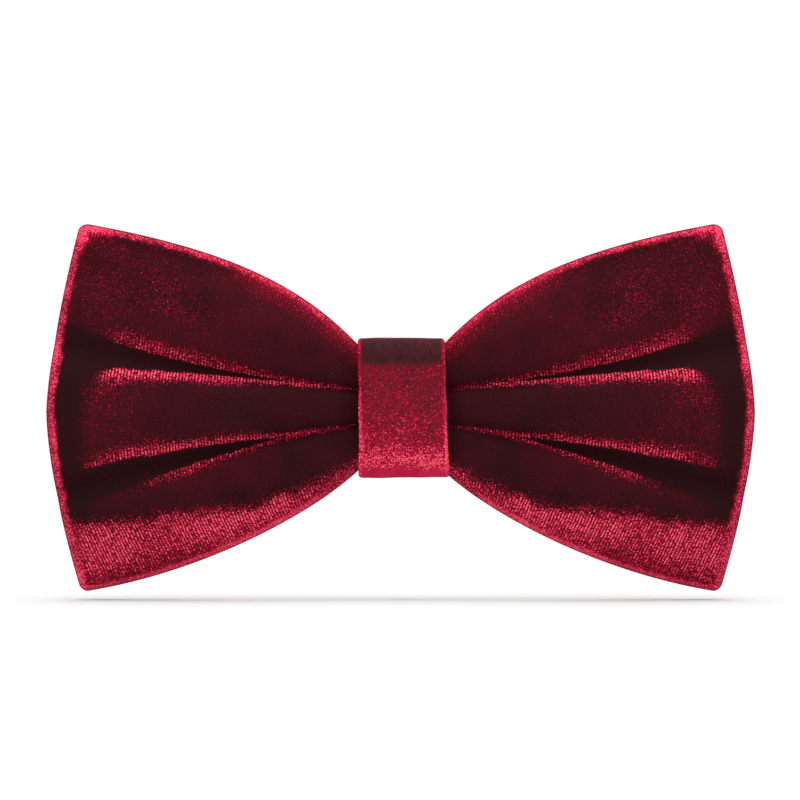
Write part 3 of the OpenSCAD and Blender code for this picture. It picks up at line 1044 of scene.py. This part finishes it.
def band_section(half_w, thickness, outer_count):
    """The band's section as X and depth below its outer face, with rounded side edges."""
    r = thickness / 2
    face = np.linspace(-half_w + r, half_w - r, outer_count)
    a = np.linspace(0, np.pi, 8)[1:-1]
    right = np.stack([half_w - r + r * np.sin(a), r - r * np.cos(a)], 1)
    under = np.stack([np.linspace(half_w - r, -half_w + r, 12), np.full(12, thickness)], 1)
    left = np.stack([-half_w + r - r * np.sin(a), r + r * np.cos(a)], 1)
    return np.concatenate([np.stack([face, np.zeros(outer_count)], 1), right, under, left])


# The knot's painted light from its top (0) to its bottom (1)
KNOT_PLACES = [0, 0.165, 0.205, 0.50, 0.74, 0.86, 0.925, 0.95, 1.0]
KNOT_GLOWS = [0.08, 0.10, 0.33, 0.35, 0.43, 0.62, 0.66, 0.72, 0.68]
KNOT_SPARKS = [0.05, 0.06, 0.34, 0.40, 0.58, 0.95, 0.90, 0.05, 0.0]
# Painted light and glints of the knot's back, and how deep its inner face, painted in shade, begins
KNOT_BACK_LIGHT = (0.26, 0.36)
INNER_DEPTH = 0.9


def knot_painted_light(x, y, z, depth):
    """Painted light of the knot: painted shade where its top tilts up, lighter down its front, and
    plain where it rolls under.
    """
    height = (KNOT_Z - z) / (2 * KNOT_Z)
    ragged = 0.010 * noise(x * 2, z * 2, 1.6, 41)
    glow = np.interp(height + ragged, KNOT_PLACES, KNOT_GLOWS)
    spark = np.interp(height + ragged, KNOT_PLACES, KNOT_SPARKS)
    glow = glow + 0.05 * noise(x, z, 1.8, 42) * mix(0.5, 1, ease(0.2, 0.3, height))
    glow = glow + 0.05 * noise(x, z, 0.45, 45) * ease(0.22, 0.18, height)
    # Painted highlights on the band's rounded side edges
    side = ease(KNOT_X - 0.95, KNOT_X - 0.45, np.abs(x)) * ease(1.1, 0.3, depth)
    side_glow = side * mix(0.50, 0.78, ease(0.2, 0.7, height))
    glow, spark = layered((glow, spark), (side_glow, 0.45 * side))
    front = ease(MID_Y - 1, MID_Y - 3, y)
    glow = mix(KNOT_BACK_LIGHT[0], glow, front)
    spark = mix(KNOT_BACK_LIGHT[1], spark, front)
    # The inner face is painted in shade
    return np.where(depth > INNER_DEPTH, 0.1, glow), np.where(depth > INNER_DEPTH, 0.0, spark)


def make_band(name, box_low, box_high, radius, half_w, thickness, step, count, pillow, wander):
    """A band round the waist, which fills the box between two corners in Y and Z.

    It puffs out by pillow along its front, and strays from straight by wander.
    """
    half_y = (box_high[1] - box_low[1]) / 2
    points, way, places = round_loop(half_y, box_high[2], radius, step)
    section = band_section(half_w, thickness, count)
    x = section[None, :, 0] * np.ones((len(points), 1))
    depth = section[None, :, 1] * np.ones((len(points), 1))
    z = points[:, 1][:, None]
    # The band isn't quite straight: it widens downwards and leans a little to one side.
    waver = noise(places / 3, places * 0, 1.0, 43)[:, None]
    x = x * (1 - 0.25 * wander * z / KNOT_Z) + wander * np.sign(x) * waver
    lean = wander * (3.5 - 2.5 * z / KNOT_Z)
    inner = 1 - (x / (half_w + 0.5)) ** 2
    bulge = pillow * inner * np.cos(np.pi * z / (2.3 * KNOT_Z)) ** 2
    bulge = bulge + 0.35 * pillow * noise(x + 20, places[:, None], 3.2, 44)
    bulge = bulge * np.clip(1 - depth / thickness, 0, 1)
    pushed = bulge - depth
    y = (box_low[1] + box_high[1]) / 2 + points[:, 0][:, None] + way[:, 0][:, None] * pushed
    z = z + way[:, 1][:, None] * pushed
    grid = np.stack([x + lean, y, z], -1)
    cloth = np.stack([x + 30 + 0.4 * depth, places[:, None] + 0 * x, np.zeros_like(x)], -1)
    glow, spark = knot_painted_light(x, y, z, depth)
    return mesh(
        name, grid, loop=(False, True), caps=True, flip=True,
        cloth=cloth, glow=glow, spark=spark, ribbed=np.zeros_like(glow),
    )


def make_knot():
    """The knot's velvet band, and the stiffening strip inside it."""
    step, count = ((0.3, 48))
    band = make_band(
        "knot_band_velvet", KNOT_LOW, KNOT_HIGH, radius=3.2, half_w=KNOT_X, thickness=BAND_T,
        step=step, count=count, pillow=0.35, wander=0.10,
    )
    finish_piece(band, KNOT_VELVET)
    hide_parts("knot_wrap")
    clear = [0, 0.02, 0]
    lining = make_band(
        "knot_band_lining", LINING_LOW + clear, LINING_HIGH - clear, radius=2.1, half_w=LINING_HALF_W,
        thickness=LINING_T, step=0.8, count=10, pillow=0.0, wander=0.0,
    )
    finish_piece(lining, INTERLINING)
    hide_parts("knot_lining")


STITCHES_A_SIDE = 4
STITCH_LEAN = 0.3
STITCH_RISE = 0.75


def make_knot_stitches():
    """Slip stitches that draw the knot band's two ends together behind."""
    y = KNOT_BACK + 0.16
    parts = []
    for side in (-1, 1):
        for i in range(STITCHES_A_SIDE):
            x = side * (KEEPER_HIGH[0] + 0.6 + i)
            below = [x - STITCH_LEAN, y, JOIN_Z - STITCH_RISE]
            above = [x + STITCH_LEAN, y, JOIN_Z + STITCH_RISE]
            parts.append(stitch(below, above, THREAD_R, 0.35))
    piece = finish_piece(join("knot_slip_stitches", parts), RED_THREAD)
    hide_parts("knot_stitches")


make_knot()
make_knot_stitches()

# ---------------- the keeper ribbon

RIBBON_T = 0.5
RIBBON_RIB = 0.5
# Undersides of the ribbon: on the knot at its ends, and over the clip's bar between them
RIBBON_TAB_Y = KNOT_BACK + 0.05
RIBBON_BAR_Y = 0.10
# How far the ribbon's turned-in ends reach, and how much they add to its thickness
TURN_IN = 1.9
TURN_IN_T = 0.28
KEEPER_ROWS = 2
KEEPER_STITCHES = 4
KEEPER_STITCH = 0.95
KEEPER_STITCH_PITCH = 1.3


def make_keeper():
    """The ribbon that holds the clip's bar: flat on the knot, over the bar, flat on the knot."""
    half_w, half_l = KEEPER_HIGH[0], KEEPER_HIGH[2]
    z = np.linspace(KEEPER_LOW[2], half_l, 231)
    y = mix(RIBBON_TAB_Y, RIBBON_BAR_Y, ease(4.9, 3.7, np.abs(z)))
    turned = TURN_IN_T * ease(half_l - TURN_IN, half_l - TURN_IN + 0.3, np.abs(z))
    rib = 0.035 * np.sin(2 * np.pi * z / RIBBON_RIB)
    across = np.linspace(-half_w, half_w, 17)
    edge = np.clip(1 - ((np.abs(across) - half_w + 0.25) / 0.25).clip(0, 1) ** 2, 0, 1) ** 0.5

    def face(height):
        grid = np.empty((len(z), len(across), 3))
        grid[..., 0] = across[None]
        grid[..., 1] = y[:, None] + height
        grid[..., 2] = z[:, None]
        return grid

    top = face(RIBBON_T / 2 + (RIBBON_T / 2 + turned + rib)[:, None] * edge[None])
    under = face(RIBBON_T / 2 * (1 - edge[None]))
    ring = np.concatenate([top, under[:, ::-1]], 1)
    piece = mesh("clip_ribbon", ring, loop=(False, True), caps=True, cloth=flat_cloth(ring))
    finish_piece(piece, RIBBON)
    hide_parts("clip_keeper")


def make_keeper_stitches():
    """Rows of stitches across each end of the ribbon. The outer row lies on the turned-in end."""
    half = KEEPER_STITCH / 2
    parts = []
    for end in (-1, 1):
        for row in range(KEEPER_ROWS):
            for i in range(KEEPER_STITCHES):
                x = (i - (KEEPER_STITCHES - 1) / 2) * KEEPER_STITCH_PITCH
                y = RIBBON_TAB_Y + RIBBON_T + (0.08 + TURN_IN_T if row == 0 else 0.08)
                z = end * (KEEPER_HIGH[2] - 0.9 - 1.4 * row)
                parts.append(stitch([x - half, y, z], [x + half, y, z], THREAD_R, 0.3))
    piece = finish_piece(join("clip_ribbon_stitches", parts), RED_THREAD)
    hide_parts("keeper_stitches")


make_keeper()
make_keeper_stitches()

# ---------------- the clip and its springs

WIRE_R = 0.225
COIL_R = 0.975
COIL_TURNS = 3.5
COIL_PITCH = 0.6
# How far both legs reach in towards the middle of the bow
LEG_REACH = 3.1
# How much of the coil the turning leg sleeves, in degrees, and how thickly
SLEEVE_ANGLE = 40
SLEEVE_T = 0.008


def coil_points(pivot, first, last, side):
    """Points of the coil between two angles in degrees, counted from its plate end at -90."""
    a = np.arange(first, last + 1, 10.0)
    angle = np.radians(a - 90)
    x = pivot[0] + COIL_R * np.cos(angle)
    y = pivot[1] + COIL_R * np.sin(angle)
    z = COIL_PITCH * (a / 360 - COIL_TURNS / 2)
    return np.stack([side * x, y, z], 1)


def make_spring(joint, name, side):
    """A torsion spring: its coil and plate leg stay on the plate, and the other leg turns."""
    pivot = np.abs(np.array(joint["pos_m"])) / MM
    half_l = COIL_PITCH * COIL_TURNS / 2
    last = 360 * COIL_TURNS
    plate_leg = [[side * (pivot[0] - LEG_REACH), WIRE_R + 0.05, -half_l]]
    tab_leg = [
        [side * (pivot[0] - 1.4), pivot[1] + 1.12, half_l],
        [side * (pivot[0] - LEG_REACH), pivot[1] + 1.85, half_l],
    ]
    coil = np.concatenate([plate_leg, coil_points(pivot, 0, last, side)])
    held = cord("spring_coil_" + name, coil, WIRE_R)
    finish_piece(held, SPRING_WIRE, joint["parent"])
    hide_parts("spring_" + name)
    # The turning leg sleeves the coil's end, so that no gap opens as it turns.
    sleeve = coil_points(pivot, last - SLEEVE_ANGLE, last, side)
    leg = cord("spring_leg_" + name, np.concatenate([sleeve, tab_leg]), WIRE_R + SLEEVE_T)
    finish_piece(leg, SPRING_WIRE, joint["child"])


for joint in frame["joints"]:
    right = joint["pos_m"][0] > 0
    make_spring(joint, "right" if right else "left", 1 if right else -1)

METAL_NODES = ("clip_base", "jaw_left", "jaw_right", "pin_left", "pin_right")
BEVEL = {"width": 0.12 * MM, "segments": 2, "limit_method": "ANGLE", "angle_limit": math.radians(40)}

for node in METAL_NODES:
    piece = frame["nodes"][node]
    piece.data.materials.clear()
    piece.data.materials.append(NICKEL)
    modifier(piece, "BEVEL", **BEVEL)

# ---------------- stage, light and camera

FLOOR_Z = -HALF_H - 1.6
FLOOR_R = 3000.0
FLOOR_COLOURS = [(0.0, (0.505, 0.505, 0.505)), (1.0, (0.525, 0.525, 0.525))]
# Name, place and size in metres, and power in watts, of each lamp
LAMPS = [
    ("front_low", (0.0, -0.80, 0.02), (0.9, 0.10), 1.0),
    ("side_left", (-0.80, -0.15, 0.10), (0.3, 0.6), 1.0),
    ("side_right", (0.80, -0.15, 0.10), (0.3, 0.6), 1.0),
]
# Name, tilt and size in degrees, and strength of each soft sun overhead
SUNS = [("sun_front", 30, 25, 0.45), ("sun_back", -30, 25, 0.45), ("sun_top", 0, 40, 2.3)]
WORLD_STRENGTH = 1.02
# The camera looks straight at the front from CAMERA_DISTANCE metres, and sees FIELD_W across
CAMERA_DISTANCE = 1.25
FIELD_W = 0.1356
SENSOR_W = 36.0
CAMERA_X = -0.0001
CAMERA_Z = 0.0013


def make_floor():
    """Plain pale paper, just under the bow's lower corners."""
    ends = (-FLOOR_R, FLOOR_R)
    floor = mesh("floor", np.array([[[x, y, FLOOR_Z] for y in ends] for x in ends]))
    paper = Shader("floor_paper", Roughness=0.9, Specular_IOR_Level=0.0)
    mottle = paper.noise(paper.node("TexCoord").outputs["Object"], 3.0)
    paper.colour(paper.colours(mottle, FLOOR_COLOURS))
    floor.data.materials.append(paper.material)


def add_object(name, data, rotation, place=(0, 0, 0)):
    """Puts a lamp or camera into the scene."""
    made = bpy.data.objects.new(name, data)
    made.location = place
    made.rotation_euler = rotation
    bpy.context.scene.collection.objects.link(made)
    return made


def make_lamp(name, place, size, power):
    """An oblong lamp that faces the middle of the bow."""
    data = bpy.data.lights.new(name, "AREA")
    data.shape = "RECTANGLE"
    data.size, data.size_y = size
    data.energy = power
    add_object(name, data, (-Vector(place)).to_track_quat("-Z", "Y").to_euler(), place)


def make_sun(name, tilt, size, strength):
    """A sun overhead, which leans towards the front by its tilt."""
    data = bpy.data.lights.new(name, "SUN")
    data.energy = strength
    data.angle = math.radians(size)
    add_object(name, data, (math.radians(tilt), 0, 0))


def make_world():
    """Even white light from all round, whose colours aren't changed by the view."""
    world = bpy.data.worlds.new("studio")
    bpy.context.scene.world = world
    world.use_nodes = True
    background = world.node_tree.nodes["Background"]
    background.inputs["Color"].default_value = (1, 1, 1, 1)
    background.inputs["Strength"].default_value = WORLD_STRENGTH
    bpy.context.scene.view_settings.view_transform = "Standard"


def make_camera():
    """A long lens, level and square to the front."""
    data = bpy.data.cameras.new("camera")
    data.sensor_width = SENSOR_W
    data.lens = SENSOR_W * CAMERA_DISTANCE / FIELD_W
    place = (CAMERA_X, MID_Y * MM - CAMERA_DISTANCE, CAMERA_Z)
    bpy.context.scene.camera = add_object("camera", data, (math.pi / 2, 0, 0), place)


make_floor()
for lamp_values in LAMPS:
    make_lamp(*lamp_values)
for sun_values in SUNS:
    make_sun(*sun_values)
make_world()
make_camera()
